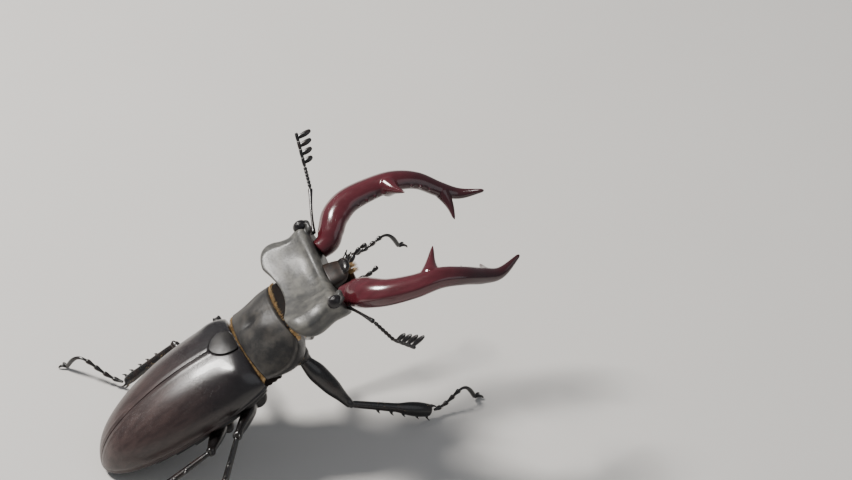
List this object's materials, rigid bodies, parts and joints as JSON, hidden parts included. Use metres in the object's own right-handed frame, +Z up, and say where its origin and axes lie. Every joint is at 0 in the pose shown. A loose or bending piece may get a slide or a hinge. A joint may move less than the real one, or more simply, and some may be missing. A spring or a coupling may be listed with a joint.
{
  "type": "stag beetle",
  "caption": "Male stag beetle reared up in a fighting stance, antler-like maroon jaws open, black body and brown wing cases, one front leg raised.",
  "frame": {"origin": "on the floor, below the middle of the whole model's box", "axes": "-Y is the way the beetle faces, +X is to its left, +Z is up"},
  "size_m": [0.0632, 0.0846, 0.0448],
  "materials": {
    "shell_black": "dull black chitin with a grey sheen",
    "wing_case_brown": "smooth dark brown chitin, nearly black at the shoulders",
    "jaw_maroon": "polished dark red chitin",
    "leg_black": "glossy black chitin",
    "eye_black": "shiny black",
    "mouth_brown": "dull brown skin and mouthparts"
  },
  "bodies": {
    "root": {"abdomen": "shell_black", "antenna_left_club": "leg_black", "antenna_left_funicle": "leg_black", "antenna_left_scape": "leg_black", "antenna_right_club": "leg_black", "antenna_right_funicle": "leg_black", "antenna_right_scape": "leg_black", "chin": "mouth_brown", "clypeus": "mouth_brown", "coxa_front_left": "shell_black", "coxa_front_right": "shell_black", "coxa_hind_left": "shell_black", "coxa_hind_right": "shell_black", "coxa_middle_left": "shell_black", "coxa_middle_right": "shell_black", "elytron_left": "wing_case_brown", "elytron_right": "wing_case_brown", "eye_left": "eye_black", "eye_right": "eye_black", "femur_front_left": "leg_black", "femur_front_right": "leg_black", "femur_hind_left": "leg_black", "femur_hind_right": "leg_black", "femur_middle_left": "leg_black", "femur_middle_right": "leg_black", "head": "shell_black", "mandible_left": "jaw_maroon", "mandible_right": "jaw_maroon", "metathorax": "shell_black", "neck": "mouth_brown", "palp_left": "leg_black", "palp_right": "leg_black", "pronotum": "shell_black", "prosternum": "shell_black", "scutellum": "shell_black", "tarsus_front_left": "leg_black", "tarsus_front_right": "leg_black", "tarsus_hind_left": "leg_black", "tarsus_hind_right": "leg_black", "tarsus_middle_left": "leg_black", "tarsus_middle_right": "leg_black", "tibia_front_left": "leg_black", "tibia_front_right": "leg_black", "tibia_hind_left": "leg_black", "tibia_hind_right": "leg_black", "tibia_middle_left": "leg_black", "tibia_middle_right": "leg_black", "waist": "mouth_brown"}
  },
  "joints": []
}
